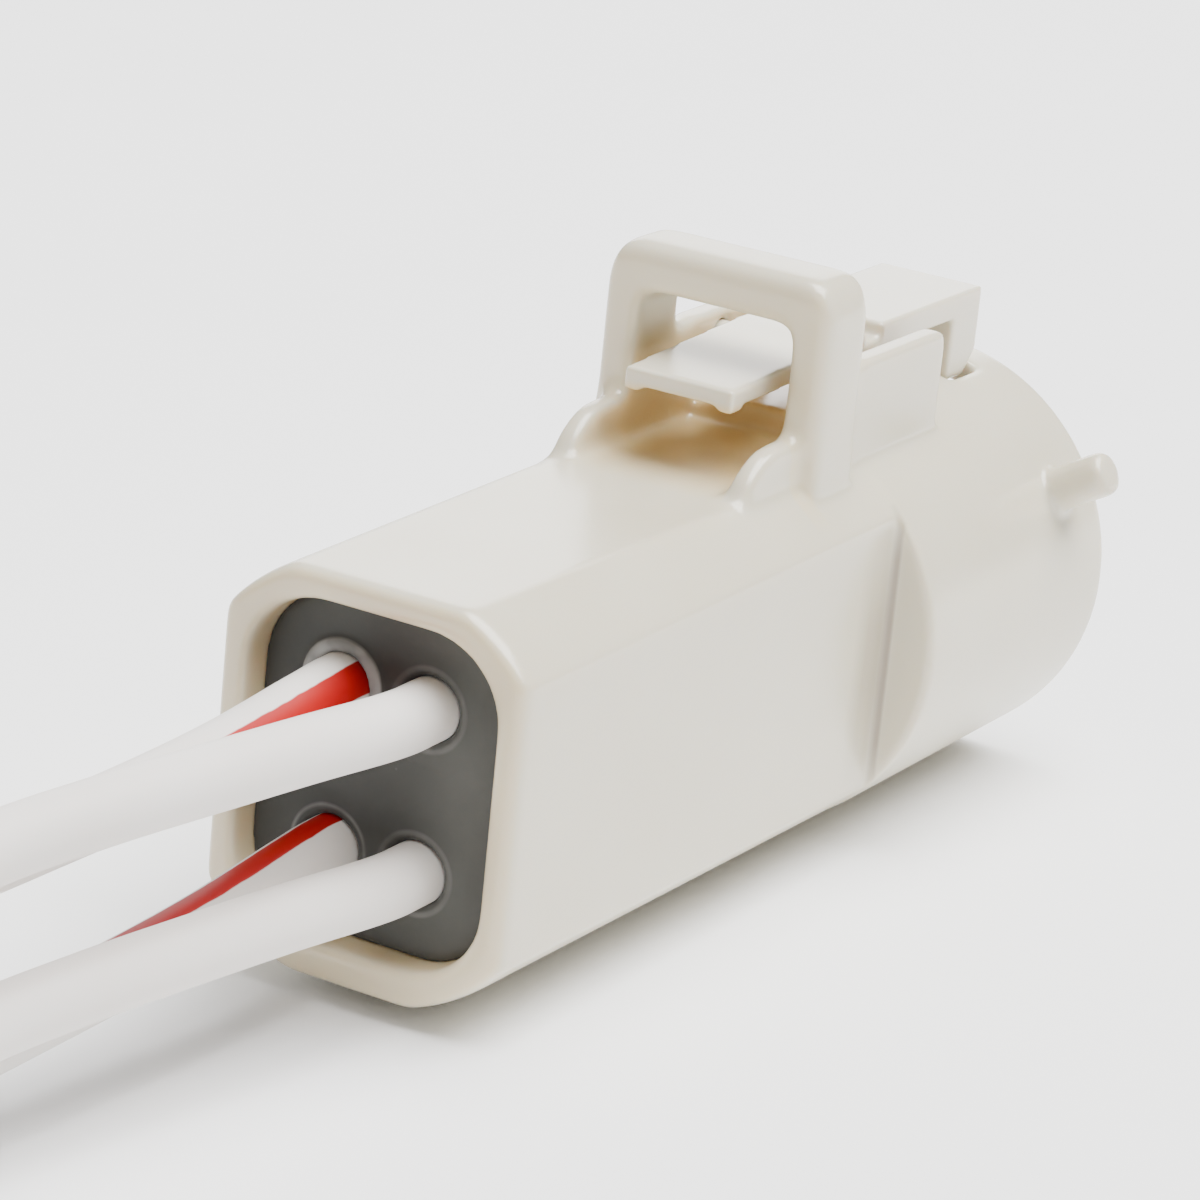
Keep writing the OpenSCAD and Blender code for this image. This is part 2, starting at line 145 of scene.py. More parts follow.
def through(points, step):
    """A smooth line through the points, sampled about every step.

    Between two neighbours the line is the cubic of Catmull and Rom, whose slope at each point is
    half the difference of the points on either side of it."""
    p = np.asarray(points, float)
    p = np.vstack([2 * p[0] - p[1], p, 2 * p[-1] - p[-2]])
    a, b, c, d = p[:-3], p[1:-2], p[2:-1], p[3:]
    count = max(2, int(np.ceil(np.linalg.norm(c - b, axis=1).max() / step)))
    t = np.linspace(0, 1, count, endpoint=False)[None, :, None]
    a, b, c, d = (q[:, None, :] for q in (a, b, c, d))
    line = 0.5 * (2 * b + (c - a) * t + (2 * a - 5 * b + 4 * c - d) * t**2 + (3 * b - a - 3 * c + d) * t**3)
    return np.vstack([line.reshape(-1, 3), p[-2]])


def sweep(line, radius, columns):
    """Rings of points round a line that never stands upright.

    Each ring lies across the line. Its point at the angle a is the line's own point plus the radius
    times cos a in a level direction and sin a in the direction square to both."""
    ahead = unit(np.gradient(line, axis=0))
    side = unit(np.cross([0.0, 0.0, 1.0], ahead))
    over = np.cross(ahead, side)
    angle = np.linspace(0, 2 * np.pi, columns, endpoint=False)[None, :, None]
    return line[:, None, :] + radius * (np.cos(angle) * side[:, None, :] + np.sin(angle) * over[:, None, :])


# %% [markdown]
# ## The four leads
#
# Each lead leaves its hole in the seal straight back, sinks under its own weight to the surface and is
# folded once into a hank, so that its real length is all there. The stretch up to the hank follows the
# same given points as the solid frame. The fold is worked out from circles: a flare, a round end
# loop and a flare back.

# %% Where the leads run
# The lead's diameter is in metres, and the places and lengths below it are in millimetres.
WIRE_D = 2.8 * MM
HANK_START, WAIST, LOOP_R, FLARE_R = -108.6, 26.0, 8.6, 12.0
MIDDLE_LANE = 1.45
TIE_AT, TIE_T, HUMP = HANK_START - 13.0, 0.6, 11
WIRE_START, IN_BODY, IN_SEAL, SEAL_FACE = -33.2, -42, -49, -49.4
LINE_STEP = 0.8
RUN_POINTS, FLARE_POINTS, LOOP_POINTS = 14, 10, 48
SEATS = {"1": (2.15, 3.625), "2": (2.15, -3.625), "3": (-2.15, 3.625), "4": (-2.15, -3.625)}
ROUTES = {
    "1": [(2.15, -52, 3.65), (1.6, -57.5, 3.9), (0.9, -63, 4), (0, -69, 4),
          (-0.9, -75, 3.75), (-1.4, -81, 2.9), (-1.45, -88, 0.5),
          (-1.45, -95, -2.9), (-1.45, -101.5, -5.1), (-1.45, -108.6, -5.8)],
    "2": [(2.15, -52, -3.55), (1.6, -57.5, -3.25), (0.9, -63, -3.15), (0, -69, -3.2),
          (-0.9, -75, -3.5), (-1.4, -81, -4.3), (-1.45, -88, -6.1),
          (-1.45, -95, -7.7), (-1.45, -101.5, -8.5), (-1.45, -108.6, -8.65)],
    "3": [(-2.2, -52, 3.35), (-2.4, -57.5, 2.65), (-2.8, -63, 2.15), (-3.4, -69, 1.75),
          (-4, -75, 1.35), (-4.3, -81, 0.55), (-4.35, -88, -1.35),
          (-4.35, -95, -3.8), (-4.35, -101.5, -5.4), (-4.35, -108.6, -5.8)],
    "4": [(-2.2, -52, -3.9), (-2.4, -57.5, -4.7), (-2.8, -63, -5.35), (-3.3, -69, -5.9),
          (-3.9, -75, -6.5), (-4.3, -81, -7.1), (-4.35, -88, -7.85),
          (-4.35, -95, -8.4), (-4.35, -101.5, -8.6), (-4.35, -108.6, -8.65)],
}


def arc(centre, radius, start, end, count):
    """Points on a level circle from one angle to another, in degrees."""
    a = np.radians(np.linspace(start, end, count))
    return np.stack([centre[0] + radius * np.cos(a), centre[1] + radius * np.sin(a)], -1)


def fold(lane):
    """The level line of one lead through the hank, in millimetres.

    It runs down the waist at x = -lane, flares out on a circle that bends away from the middle, goes
    round the end loop, and flares and runs back at x = +lane. The three circles touch, so the line has
    no corner."""
    waist_end = HANK_START - WAIST
    spare = lane - MIDDLE_LANE
    flare, loop = FLARE_R - spare, LOOP_R + spare
    reach = math.sqrt((LOOP_R + FLARE_R) ** 2 - (MIDDLE_LANE + FLARE_R) ** 2)
    touch = math.degrees(math.atan2(reach, MIDDLE_LANE + FLARE_R))
    down = np.linspace(HANK_START, waist_end, RUN_POINTS, endpoint=False)
    run_in = np.stack([np.full(RUN_POINTS, -lane), down], -1)
    out = arc((-MIDDLE_LANE - FLARE_R, waist_end), flare, 0, -touch, FLARE_POINTS)
    round_end = arc((0.0, waist_end - reach), loop, 180 - touch, 360 + touch, LOOP_POINTS)
    home = arc((MIDDLE_LANE + FLARE_R, waist_end), flare, 180 + touch, 180, FLARE_POINTS)
    back_up = np.linspace(waist_end, HANK_START, RUN_POINTS + 1)[1:]
    run_out = np.stack([np.full(RUN_POINTS, lane), back_up], -1)
    return np.vstack([run_in[1:], out, round_end[1:-1], home, run_out])


def lead_line(key):
    """The whole centreline of a lead in metres: through the seal, along its route and round the hank.

    Where it crosses the tie it rises by TIE_T * cos(a)**2, with a from minus to plus a quarter turn over
    the hump's length on either side."""
    x, z = SEATS[key]
    route = [(x, y, z) for y in (WIRE_START, IN_BODY, IN_SEAL)] + ROUTES[key]
    lane, height = -route[-1][0], route[-1][2]
    level_line = fold(lane)
    over_tie = TIE_T * np.cos(np.clip((level_line[:, 1] - TIE_AT) / HUMP, -1, 1) * np.pi / 2) ** 2
    folded = np.column_stack([level_line, height + over_tie])
    return through(np.vstack([route, folded]), LINE_STEP) * MM


def length_of(line):
    """The length along a line of points."""
    return float(np.linalg.norm(np.diff(line, axis=0), axis=1).sum())


LINES = {key: lead_line(key) for key in ROUTES}
for key, line in LINES.items():
    print("lead", key, "is", round(length_of(line), 4), "m long")

# %% [markdown]
# ### Insulated tubes
#
# A drawn lead is the same round section all the way, so it is a circle carried along its centreline. Its
# UV map is worked out with it, because the tracer stripe has to follow the lead round every bend.

# %% Lead meshes
COLUMNS = 32
UV_NAME = "round_and_along"


def lead(key):
    """One insulated lead as a closed tube with a UV map: round the lead, then along it in metres."""
    line = LINES[key]
    rows, ring = len(line), np.arange(COLUMNS)
    body, last = rows * COLUMNS, (rows - 1) * COLUMNS
    points = np.vstack([sweep(line, WIRE_D / 2, COLUMNS).reshape(-1, 3), line[:1], line[-1:]])
    faces = grid_faces(rows, COLUMNS)
    faces += [(body, (c + 1) % COLUMNS, c) for c in ring]
    faces += [(body + 1, last + c, last + (c + 1) % COLUMNS) for c in ring]
    piece = mesh_object("lead_" + key, points, faces)
    mesh = piece.data
    corner = np.zeros(len(mesh.loops), np.int32)
    mesh.loops.foreach_get("vertex_index", corner)
    first, total = np.zeros((2, len(mesh.polygons)), np.int32)
    mesh.polygons.foreach_get("loop_start", first)
    mesh.polygons.foreach_get("loop_total", total)
    along = np.concatenate([[0], np.cumsum(np.linalg.norm(np.diff(line, axis=0), axis=1))])
    u = np.where(corner < body, (corner % COLUMNS) / COLUMNS, 0.0)
    v = np.where(corner < body, along[np.minimum(corner // COLUMNS, rows - 1)], 0.0)
    # A face across the seam has corners near u = 1 and at u = 0. The latter belong to the next turn.
    owner = np.repeat(np.arange(len(first)), total)
    u = np.where((np.maximum.reduceat(u, first)[owner] > 0.6) & (u < 0.4), u + 1.0, u)
    uv = mesh.uv_layers.new(name=UV_NAME)
    uv.data.foreach_set("uv", np.stack([u, v], -1).astype(np.float32).ravel())
    return piece


# %% [markdown]
# ## Stripped ends
#
# The end of each lead is stripped to show its core. A stranded core is a few fine copper wires wound
# round a middle one, so each strand is a small tube that follows a helix.

# %% Strands
STRAND_ROWS, STRAND_COLUMNS = 28, 10
SHORT = 0.15 * MM
CLOSE, WORN_TIP = 0.96, 0.72


def strands(name, node, count=6, pitch=9.0 * MM):
    """A bundle of tubes: one straight strand in the middle and count strands that wind round it.

    With s the way along the core, strand k lies at the angle 2 pi (k / count + s / pitch) on a circle
    whose radius is a little less than one strand's diameter, so that neighbours touch. A strand is a
    third of the core across. The strands stop just short of the solid's end, and their tips are worn."""
    lo, hi = (np.array(c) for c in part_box(node))
    middle = (lo + hi) / 2
    thick = (hi[0] - lo[0]) / 3
    rows, columns = STRAND_ROWS, STRAND_COLUMNS
    along = np.linspace(lo[1], hi[1] - SHORT, rows)
    k = np.arange(count + 1)
    turn = 2 * np.pi * (k[:, None] / count + (along[None, :] - lo[1]) / pitch)
    out = np.where(k[:, None] == count, 0.0, thick * CLOSE)
    x = (middle[0] + out * np.cos(turn))[:, :, None]
    z = (middle[2] + out * np.sin(turn))[:, :, None]
    y = np.broadcast_to(along[None, :, None], (count + 1, rows, columns))
    angle = np.linspace(0, 2 * np.pi, columns, endpoint=False)
    radius = np.concatenate([np.ones(rows - 1), [WORN_TIP]])[None, :, None] * thick / 2
    points = np.stack([x + radius * np.cos(angle), y, z + radius * np.sin(angle)], -1).reshape(-1, 3)
    faces = []
    for strand in range(count + 1):
        first = strand * rows * columns
        ring = first + np.arange(columns)
        faces += grid_faces(rows, columns, first)
        faces += [tuple(ring[::-1]), tuple(ring + (rows - 1) * columns)]
    piece = mesh_object(name, points, faces)
    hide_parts(node)
    return piece


core_ends = {key: strands("strands_" + key, "bare_end_" + key) for key in ROUTES}
print("stripped ends:", [piece.name for piece in core_ends.values()])

# %% [markdown]
# ### The lead tubes
#
# Each lead's tube takes the place of its solid wire, and the solid hank is hidden.

# %% The lead tubes built
leads = {key: lead(key) for key in ROUTES}
for key, piece in leads.items():
    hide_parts("wire_" + key)
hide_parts("lead_hank")
print("points on each lead:", [len(piece.data.vertices) for piece in leads.values()])

# %% [markdown]
# ## Moulded and rubber shapes
#
# The frame's solids have knife-sharp edges, and nothing that comes out of a mould does. Bevelling every
# edge by hand would take a long list of edges, so each solid is copied, rebuilt on a fine cubic lattice
# and relaxed: the flat faces stay where they are, while edges and inside corners turn into small rounds.
#
# The moulding isn't equally sharp all over. The guard arch, the cheeks behind it, the keying peg, the rear
# rim and the collars round the leads are rounder than the rest, so the points in those places are relaxed
# for more rounds.

# %% Relaxing a mesh


def relaxed(points, edges, share, rounds):
    """The points after each has moved its share of the way to the middle of its neighbours, rounds times.

    A flat stretch stays where it is, because there a point already is that middle. Near an edge the shape
    is blurred over about the mesh's spacing times the square root of share * rounds / 2."""
    count = len(points)
    ends, others = np.concatenate([edges, edges[:, ::-1]]).T
    neighbours = np.bincount(ends, minlength=count)
    for _ in range(rounds):
        middle = np.stack([np.bincount(ends, points[others, k], count) for k in range(3)], -1)
        points = points + share[:, None] * (middle / neighbours[:, None] - points)
    return points


def near_box(points, lo, hi, fade):
    """One inside a box of millimetres, and falling evenly to nothing at the distance fade outside it."""
    outside = np.maximum(np.array(lo) * MM - points, points - np.array(hi) * MM).max(axis=1)
    return np.clip(1 - outside / (fade * MM), 0, 1)


# %% Softened copies
SHARE = 0.5
SAME_POINT = 1e-6


def softened(name, node, cell, rounds, keep, body=CONNECTOR, rounder=()):
    """A copy of one solid with rounded edges, which takes the solid's place.

    The copy's doubled points are merged, and it is rebuilt from cubes of side cell and relaxed. Then the
    places in the list rounder, each a box, the width of its fade and a number of rounds, are relaxed
    further. Last, flat stretches are thinned until only the share keep of the faces is left."""
    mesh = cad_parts[node].data.copy()
    mesh.materials.clear()
    merged = bmesh.new()
    merged.from_mesh(mesh)
    bmesh.ops.remove_doubles(merged, verts=merged.verts, dist=SAME_POINT)
    merged.to_mesh(mesh)
    merged.free()
    rough = bpy.data.objects.new(name + "_rough", mesh)
    bpy.context.collection.objects.link(rough)
    lattice = rough.modifiers.new("lattice", "REMESH")
    lattice.mode, lattice.voxel_size = "VOXEL", cell
    cubes = bpy.data.meshes.new_from_object(rough.evaluated_get(bpy.context.evaluated_depsgraph_get()))
    points = np.zeros(len(cubes.vertices) * 3, np.float32)
    edges = np.zeros(len(cubes.edges) * 2, np.int32)
    cubes.vertices.foreach_get("co", points)
    cubes.edges.foreach_get("vertices", edges)
    points, edges = points.reshape(-1, 3).astype(float), edges.reshape(-1, 2)
    points = relaxed(points, edges, np.full(len(points), SHARE), rounds)
    for lo, hi, fade, extra in rounder:
        points = relaxed(points, edges, SHARE * near_box(points, lo, hi, fade), extra)
    cubes.vertices.foreach_set("co", points.astype(np.float32).ravel())
    rough.modifiers.clear()
    rough.data = cubes
    rough.modifiers.new("thin", "DECIMATE").ratio = keep
    done = bpy.data.meshes.new_from_object(rough.evaluated_get(bpy.context.evaluated_depsgraph_get()))
    bpy.data.objects.remove(rough)
    done.name = name
    done.shade_smooth()
    piece = bpy.data.objects.new(name, done)
    bpy.context.collection.objects.link(piece)
    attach(piece, body)
    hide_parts(node)
    done.calc_loop_triangles()
    print(name, "has", len(done.loop_triangles), "triangles")
    return piece


# Each place is its lowest and highest corner and its fade in millimetres, and its number of rounds.
ARCH = ((-7, -24.6, 11.2), (7, -19.9, 19), 1.5, 44)
CHEEKS = ((-6, -30.2, 8.3), (6, -24.9, 12), 0.8, 26)
PEG = ((8.5, -10, -2), (14, -4, 2), 0.8, 14)
RIM = ((-9, -52, -11), (9, -50.2, 11), 1.0, 14)
COLLAR_R = 2.3
COLLARS = [((x - COLLAR_R, -51, z - COLLAR_R), (x + COLLAR_R, -48.9, z + COLLAR_R), 0.2, 60)
           for x, z in map(SEATS.get, "124")]

shell_piece = softened("moulded_shell", "housing", cell=0.15 * MM, rounds=13, keep=0.235,
                       rounder=(ARCH, CHEEKS, PEG, RIM))
lever_piece = softened("rocking_latch", "latch_lever", cell=0.12 * MM, rounds=9, keep=0.5, body=LATCH)
wire_seal = softened("grommet_seal", "rear_seal", cell=0.13 * MM, rounds=7, keep=0.5,
                     rounder=COLLARS)
ring_seal = softened("ribbed_ring_seal", "interface_seal", cell=0.12 * MM, rounds=5, keep=0.5)
lock_piece = softened("terminal_lock", "front_lock", cell=0.12 * MM, rounds=6, keep=0.5)

# %% [markdown]
# ## Materials
#
# Each finish is a small chain of nodes on Object coordinates, which are metres, so a noise scale of 900
# repeats about once a millimetre. One helper starts a material; each finish then adds what the real
# surface shows, and the nylon and the grey seals also carry painted light and shade in their colour.

# %% Material helpers


class Finish:
    """A new material with its main shader and short ways to add and join nodes."""

    def __init__(self, name, **sockets):
        self.material = bpy.data.materials.new(name)
        self.material.use_nodes = True
        self.tree = self.material.node_tree
        self.shader = self.tree.nodes["Principled BSDF"]
        for socket, value in sockets.items():
            self.shader.inputs[socket.replace("_", " ")].default_value = value

    def feed(self, socket, value):
        """Joins an output to a socket, or sets the socket's own number or colour."""
        if isinstance(value, bpy.types.NodeSocket):
            self.tree.links.new(value, socket)
        else:
            socket.default_value = value

    def node(self, kind, **inputs):
        """A node of that kind; each keyword is a socket's name, and its value a number or an output."""
        made = self.tree.nodes.new("ShaderNode" + kind)
        for socket, value in inputs.items():
            self.feed(made.inputs[socket.replace("_", " ")], value)
        return made

    def into(self, socket, output):
        """Joins an output to the main shader."""
        self.tree.links.new(output, self.shader.inputs[socket])

    def place(self):
        """Object coordinates."""
        return self.tree.nodes.new("ShaderNodeTexCoord").outputs["Object"]

    def axes(self, where):
        """The outputs X, Y and Z of a vector."""
        return self.node("SeparateXYZ", Vector=where).outputs

    def noise(self, where, scale, detail=2.0):
        """Soft noise about 1 / scale metres across."""
        return self.node("TexNoise", Vector=where, Scale=scale, Detail=detail, Roughness=0.5).outputs["Fac"]

    def span(self, value, low, high, to_low, to_high):
        """The value moved from one range to another and held inside it."""
        made = self.node("MapRange", Value=value, From_Min=low, From_Max=high, To_Min=to_low, To_Max=to_high)
        return made.outputs["Result"]

    def math(self, what, a, b=0.0):
        """One sum on numbers or outputs, by the Math node's name for it."""
        made = self.tree.nodes.new("ShaderNodeMath")
        made.operation = what
        for socket, value in zip(made.inputs, (a, b)):
            self.feed(socket, value)
        return made.outputs[0]

    def times(self, a, b):
        """The product of two numbers or outputs."""
        return self.math("MULTIPLY", a, b)

    def mix(self, share, a, b):
        """Between two colours, by a share from 0 to 1."""
        made = self.tree.nodes.new("ShaderNodeMix")
        made.data_type = "RGBA"
        self.feed(made.inputs[0], share)
        for socket, colour in ((made.inputs[6], a), (made.inputs[7], b)):
            self.feed(socket, (*colour, 1) if isinstance(colour, tuple) else colour)
        return made.outputs[2]

    def clouded(self, where, scale, detail, a, b, low=0.35, high=0.65):
        """Two colours in soft clouds; low and high say how far the clouds run into each other."""
        return self.mix(self.span(self.noise(where, scale, detail), low, high, 0.0, 1.0), a, b)

    def inside(self, lo, hi, fade):
        """One inside a box of millimetres in Object coordinates, fading evenly to nothing outside it.

        The fades are six widths, in the order low x, high x, low y, high y, low z, high z."""
        axes = self.axes(self.place())
        share = 1.0
        for axis, low, high, rise, fall in zip("XYZ", lo, hi, fade[0::2], fade[1::2]):
            share = self.times(self.span(axes[axis], (low - rise) * MM, low * MM, 0.0, 1.0), share)
            share = self.times(self.span(axes[axis], high * MM, (high + fall) * MM, 1.0, 0.0), share)
        return share

    def bump(self, height, depth, strength=0.5):
        """Fine relief: the height, from 0 to 1, times a depth in metres."""
        made = self.node("Bump", Height=height, Distance=depth, Strength=strength)
        self.into("Normal", made.outputs["Normal"])


def dress(material, *pieces):
    """Gives the pieces that material and no other."""
    for piece in pieces:
        piece.data.materials.clear()
        piece.data.materials.append(material)


# %% [markdown]
# ### Natural nylon
#
# Unpigmented nylon is a warm off-white that lets some light in. The honey colour under the latch and the
# pad, in the rear mouth, on the rim's rear face and on the backs of the arch's legs is a painted warm shade:
# a tint that stands in for the warm light the nylon lets into its shaded places. The tool's surface was
# spark-eroded, which leaves a fine even grain and a satin sheen. The darker colour in the corner where each
# side flat meets the skirt, and on the flat beside it, is painted shade.
#
# The warm shade and the dark shade could be painted by hand or found by an occlusion node. Boxes with soft
# sides are used instead: they are exact, free of noise, and easy to move.

# %% Nylon
# The first colour is a painted warm shade, a honey tint for shaded hollows and rear faces; the second is a
# painted dark shade for the corners beside the step.
PAINTED_WARM_SHADE, PAINTED_DARK_SHADE = (0.73, 0.56, 0.29), (0.20, 0.14, 0.085)
NYLON_SCATTER = (1.0, 0.62, 0.3)
CLOUDS, SHEEN_PATCHES, EROSION = 110.0, 300.0, 5200.0
EROSION_DEPTH, SHEEN_SPREAD = 0.012 * MM, 0.03
MOUTH_EDGE = (1.08, 1.3)


def nylon(name, light, warm, sheen, warm_shades, recess_shade=None, crease_shades=()):
    """Off-white nylon. Each warm shade is a box, its six fades and its share of the honey colour, a painted
    warm shade.

    The recess shade is painted warm shade in the mouth at the rear, whose half width a and half height b
    bound the curve (x / a)**4 + (z / b)**4 = 1, a rounded rectangle; it deepens from one y to the other.
    A crease shade is a thin box along an inside corner, its six fades and its share of the painted dark
    shade's colour."""
    f = Finish(name, Roughness=sheen, Subsurface_Weight=0.3, Subsurface_Scale=0.0012, IOR=1.53,
               Specular_IOR_Level=0.75)
    f.shader.inputs["Subsurface Radius"].default_value = NYLON_SCATTER
    at = f.place()
    # Painted warm shade: the honey tint's share at each point, from the boxes and the rear mouth.
    warm_shade = 0.0
    for *box, share in warm_shades:
        warm_shade = f.math("MAXIMUM", f.times(f.inside(*box), share), warm_shade)
    if recess_shade:
        a, b, shallow, deep, share = recess_shade
        axes = f.axes(at)
        x4, z4 = (f.math("POWER", f.math("ABSOLUTE", f.math("DIVIDE", axes[axis], half * MM)), 4.0)
                  for axis, half in (("X", a), ("Z", b)))
        mouth = f.times(f.span(f.math("ADD", x4, z4), *MOUTH_EDGE, share, 0.0),
                        f.span(axes["Y"], shallow * MM, deep * MM, 0.0, 1.0))
        warm_shade = f.math("MAXIMUM", warm_shade, mouth)
    colour = f.mix(warm_shade, f.clouded(at, CLOUDS, 3.0, light, warm, 0.3, 0.7), PAINTED_WARM_SHADE)
    # Painted dark shade in the inside corners beside the step.
    for *box, share in crease_shades:
        colour = f.mix(f.times(f.inside(*box), share), colour, PAINTED_DARK_SHADE)
    f.into("Base Color", colour)
    patches = f.noise(at, SHEEN_PATCHES, 1.0)
    f.into("Roughness", f.span(patches, 0.1, 0.9, sheen - SHEEN_SPREAD, sheen + SHEEN_SPREAD))
    f.bump(f.noise(at, EROSION), EROSION_DEPTH)
    return f.material


# Each place is its lowest and highest corner, its six fades, all in millimetres, and its share.
# Painted warm shade under the latch and the pad, on the backs of the arch's legs and on the rim's rear face.
UNDER_LATCH_SHADE = ((-3.95, -24.6, 5), (3.95, -12, 11.5), (0.15, 0.15, 5, 1, 1, 3.5), 1.0)
LEG_BACKS_SHADE = ((-7, -25, 8), (7, -24.15, 17), (1, 1, 0.2, 0.3, 1, 1), 0.28)
RIM_FACE_SHADE = ((-9, -52, -11), (9, -50.5, 11), (1, 1, 1, 0.3, 1, 1), 0.36)
UNDER_PAD_SHADE = ((-9, -30, 5), (9, -13, 11.9), (1, 1, 1, 1, 1, 0.5), 1.0)
seal_hi = np.array(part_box("rear_seal")[1]) / MM
# Painted warm shade in the rear mouth, round the grey seal.
RECESS_SHADE = (seal_hi[0], seal_hi[2], -50.7, -49.9, 0.6)

# On each side a faint wide painted shade lies on the flat beside the step, and a painted dark line of
# shade in the corner itself.
FLAT_X, STEP_Y, SKIN = 7.5, -18.5, 0.3
CREASE_SHADES = []
for side in (-1, 1):
    inner, outer = side * FLAT_X - SKIN, side * FLAT_X + SKIN
    CREASE_SHADES += [
        ((inner, STEP_Y - 1.7, -1.5), (outer, STEP_Y + 0.1, 1.5), (0.15, 0.15, 1.3, 0.15, 5, 5), 0.36),
        ((inner, STEP_Y - 0.1, -4.5), (outer, STEP_Y + 0.05, 4.5), (0.15, 0.15, 0.25, 0.25, 3, 3), 0.72),
    ]

shell_finish = nylon("natural_nylon", (0.61, 0.568, 0.452), (0.59, 0.543, 0.42), 0.25,
                     [UNDER_LATCH_SHADE, LEG_BACKS_SHADE, RIM_FACE_SHADE], RECESS_SHADE, CREASE_SHADES)
latch_finish = nylon("natural_nylon_latch", (0.64, 0.60, 0.49), (0.62, 0.575, 0.46), 0.25, [UNDER_PAD_SHADE])
dress(shell_finish, shell_piece)
dress(latch_finish, lever_piece)
print("nylon on", shell_piece.name, "and", lever_piece.name)

# %% [markdown]
# ### Silicone seals
#
# The seals are grey silicone rubber: dull, with fine pale specks of parting dust. Their grey is darker
# towards the left-hand side, a painted shade. A paler ring of painted light shows round each lead's hole,
# where light catches its collar.

# %% Silicone
LIT_RING_FADE = 0.12
SPECK_CELLS, SPECK_PATCHES, LIT_RING_PATCHES = 480.0, 190.0, 700.0
# Where the painted shade on the seals fades out, from left to right along x, in metres.
PAINTED_SHADE_FADE = (-0.5 * MM, 4.5 * MM)


def silicone(name, colour, speck_and_ring_colour, lit_rings=()):
    """Grey rubber; each lit ring is (x, z, inner and outer radius, share) of a paler ring of painted light
    round a lead's hole.

    The distance from a hole's middle is the root of the squares of x and z measured from it."""
    f = Finish(name, Roughness=0.62, Specular_IOR_Level=0.35, Sheen_Weight=0.12, Sheen_Roughness=0.5)
    at = f.place()
    axes = f.axes(at)
    mottled = f.clouded(at, 260.0, 4.0, colour, tuple(c * 1.12 for c in colour))
    painted_shade_grey = tuple(c * 0.6 for c in colour)
    cells = f.node("TexVoronoi", Vector=at, Scale=SPECK_CELLS)
    specks = f.span(cells.outputs["Distance"], 0.045, 0.07, 1.0, 0.0)
    specks_and_lit_rings = f.times(specks, f.span(f.noise(at, SPECK_PATCHES, 1.0), 0.56, 0.62, 0.0, 0.7))
    patchy = f.span(f.noise(at, LIT_RING_PATCHES), 0.35, 0.6, 0.55, 1.0)
    # Painted light: a paler ring round each lead's hole.
    for x, z, inner, outer, share in lit_rings:
        x2, z2 = (f.math("POWER", f.math("SUBTRACT", axes[axis], seat * MM), 2.0)
                  for axis, seat in (("X", x), ("Z", z)))
        reach = f.math("POWER", f.math("ADD", x2, z2), 0.5)
        ring = f.times(f.span(reach, inner * MM, (inner + LIT_RING_FADE) * MM, 0.0, share),
                       f.span(reach, (outer - LIT_RING_FADE) * MM, outer * MM, 1.0, 0.0))
        specks_and_lit_rings = f.math("MAXIMUM", specks_and_lit_rings, f.times(ring, patchy))
    # Painted shade: darker on the left, fading to the full grey towards the right-hand side.
    side_shaded = f.mix(f.span(axes["X"], *PAINTED_SHADE_FADE, 0.0, 1.0), painted_shade_grey, mottled)
    f.into("Base Color", f.mix(specks_and_lit_rings, side_shaded, speck_and_ring_colour))
    f.bump(f.noise(at, 2600.0, 3.0), 0.02 * MM, 0.6)
    return f.material


# Paler rings of painted light round the leads' holes, where light catches their collars; most round lead 3.
LIT_RINGS = [(*SEATS["3"], 1.2, 2.05, 0.9), (*SEATS["4"], 1.72, 1.98, 0.3), (*SEATS["1"], 1.6, 1.95, 0.16),
        (*SEATS["2"], 1.6, 1.95, 0.16)]
dress(silicone("grey_silicone", (0.062, 0.062, 0.055), (0.36, 0.35, 0.335), LIT_RINGS), wire_seal)
dress(silicone("grey_silicone_ring", (0.105, 0.108, 0.10), (0.34, 0.34, 0.33)), ring_seal)
print("silicone on", wire_seal.name, "and", ring_seal.name, "with", len(LIT_RINGS), "pale lips")

# %% [markdown]
# ### Lead insulation
#
# The leads are insulated in satin white plastic. Two of them carry a red tracer stripe along their
# length, printed as the wire was drawn. The stripe reads the lead's own map: u is the share of the way
# round, v the distance along in metres.

# %% Insulation and tracer stripes
# Each stripe's middle and half width, in degrees round the lead from its level direction.
STRIPES = {"3": (30.0, 30.0), "4": (92.0, 23.0)}
WHITE, SHADED_WHITE, RED = (0.745, 0.71, 0.675), (0.72, 0.68, 0.64), (0.38, 0.002, 0.002)
JACKET_SCATTER = (1.0, 0.7, 0.6)
INK_EDGE, INK_WANDER = 0.004, 0.003


def insulation(key):
    """Satin white plastic. With u in turns, ink lies where the distance from the stripe's middle,
    abs(fract(u + 0.5 - middle) - 0.5), is under its half width; a fine noise makes its edge wander."""
    f = Finish("insulation_" + key, Roughness=0.5, Subsurface_Weight=0.2, Subsurface_Scale=0.0008,
               Specular_IOR_Level=0.3)
    f.shader.inputs["Subsurface Radius"].default_value = JACKET_SCATTER
    at = f.place()
    colour = f.clouded(at, 150.0, 3.0, WHITE, SHADED_WHITE)
    if key in STRIPES:
        middle, half = (degrees / 360 for degrees in STRIPES[key])
        uv = f.node("UVMap")
        uv.uv_map = UV_NAME
        turned = f.math("FRACT", f.math("ADD", f.axes(uv.outputs["UV"])["X"], 0.5 - middle))
        away = f.math("ABSOLUTE", f.math("SUBTRACT", turned, 0.5))
        wander = f.span(f.noise(at, 900.0), 0.3, 0.7, -INK_WANDER, INK_WANDER)
        ink = f.span(f.math("ADD", away, wander), half - INK_EDGE, half + INK_EDGE, 1.0, 0.0)
        colour = f.mix(ink, colour, RED)
    f.into("Base Color", colour)
    f.bump(f.noise(at, 1800.0), 0.01 * MM)
    return f.material


